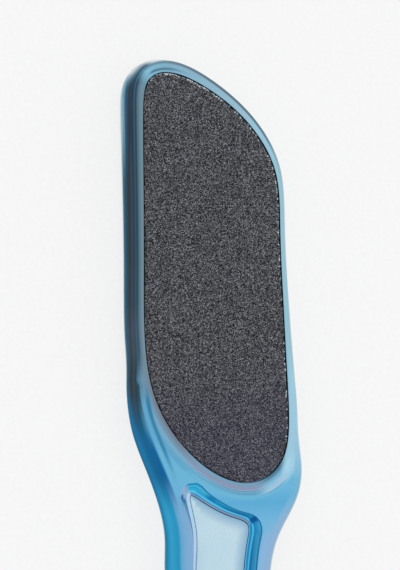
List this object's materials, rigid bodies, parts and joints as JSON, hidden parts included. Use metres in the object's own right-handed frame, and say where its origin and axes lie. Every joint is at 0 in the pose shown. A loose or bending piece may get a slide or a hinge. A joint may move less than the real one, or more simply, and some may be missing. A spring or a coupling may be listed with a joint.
{
  "type": "foot file",
  "caption": "Two-sided foot file: slim recessed handle and a leaf-shaped head with an abrasive pad set into each face.",
  "frame": {"origin": "centre of the bounding box's bottom face, on the surface that the file lies on", "axes": "+Y along the file from the handle to the head, +Z out of the coarse face, +X across the file"},
  "size_m": [0.049, 0.2558, 0.0118],
  "materials": {
    "plated_housing": "moulded ABS with a glossy blue metallised coat",
    "inlay_plate": "moulded ABS with a pale silver-blue metallised coat",
    "coarse_grit": "coarse silicon carbide grains in resin",
    "fine_grit": "fine silicon carbide grains in resin",
    "backing_sheet": "resin-bound backing sheet",
    "adhesive_film": "clear pressure-sensitive film"
  },
  "bodies": {
    "root": {"front_shell": "plated_housing", "rear_shell": "plated_housing", "coarse_grit_coat": "coarse_grit", "coarse_backing": "backing_sheet", "coarse_adhesive": "adhesive_film", "fine_grit_coat": "fine_grit", "fine_backing": "backing_sheet", "fine_adhesive": "adhesive_film", "front_inlay": "inlay_plate", "front_inlay_film": "adhesive_film", "rear_inlay": "inlay_plate", "rear_inlay_film": "adhesive_film"}
  },
  "joints": []
}
